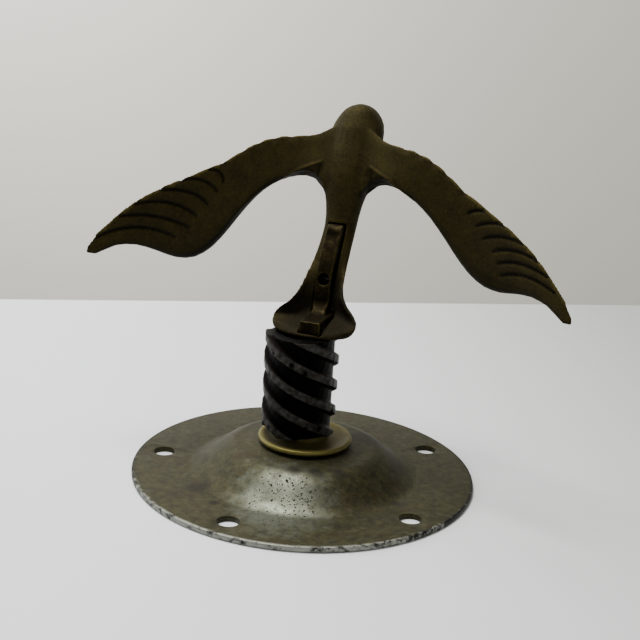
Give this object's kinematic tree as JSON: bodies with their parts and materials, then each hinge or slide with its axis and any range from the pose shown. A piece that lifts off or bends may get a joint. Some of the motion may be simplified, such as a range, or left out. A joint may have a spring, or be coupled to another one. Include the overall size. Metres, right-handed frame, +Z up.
{
  "type": "hood ornament",
  "caption": "Cast bird with drooping spread wings on a spiral post, swivelling over a dished collar and a domed round base plate with rim holes.",
  "frame": {"origin": "centre of the round base plate, on the level of its underside", "axes": "+Z up along the stud, +Y the way the bird flies, +X towards its right wing"},
  "size_m": [0.145, 0.1, 0.1048],
  "materials": {
    "plate_steel": "bare pressed steel, stained brown, worn bright on the front of the dome",
    "collar_brass": "dull turned brass with an olive tarnish",
    "black_steel": "blackened steel, ridge crests worn to grey",
    "bolt_steel": "dull machined steel",
    "tang_brass": "sawn and brazed brass, dull brown",
    "cast_brass": "cast brass with a dark olive-brown patina, rubbed at its edges"
  },
  "bodies": {
    "base": {"base_plate": "plate_steel", "collar": "collar_brass", "flat_washer": "bolt_steel"},
    "figure": {"bird": "cast_brass", "tang": "tang_brass", "tang_screw": "bolt_steel", "stud": "bolt_steel", "nut": "bolt_steel", "spring_washer": "bolt_steel"},
    "sleeve": {"spiral_sleeve": "black_steel"}
  },
  "joints": [
    {"name": "figure_swivel", "type": "hinge", "parent": "base", "child": "figure", "pos_m": [0, 0, 0.0105], "axis": [0, 0, 1], "continuous": true},
    {"name": "sleeve_turn", "type": "hinge", "parent": "base", "child": "sleeve", "pos_m": [-0.0022, -0.0007, 0.0143], "axis": [0, 0, 1], "continuous": true}
  ]
}
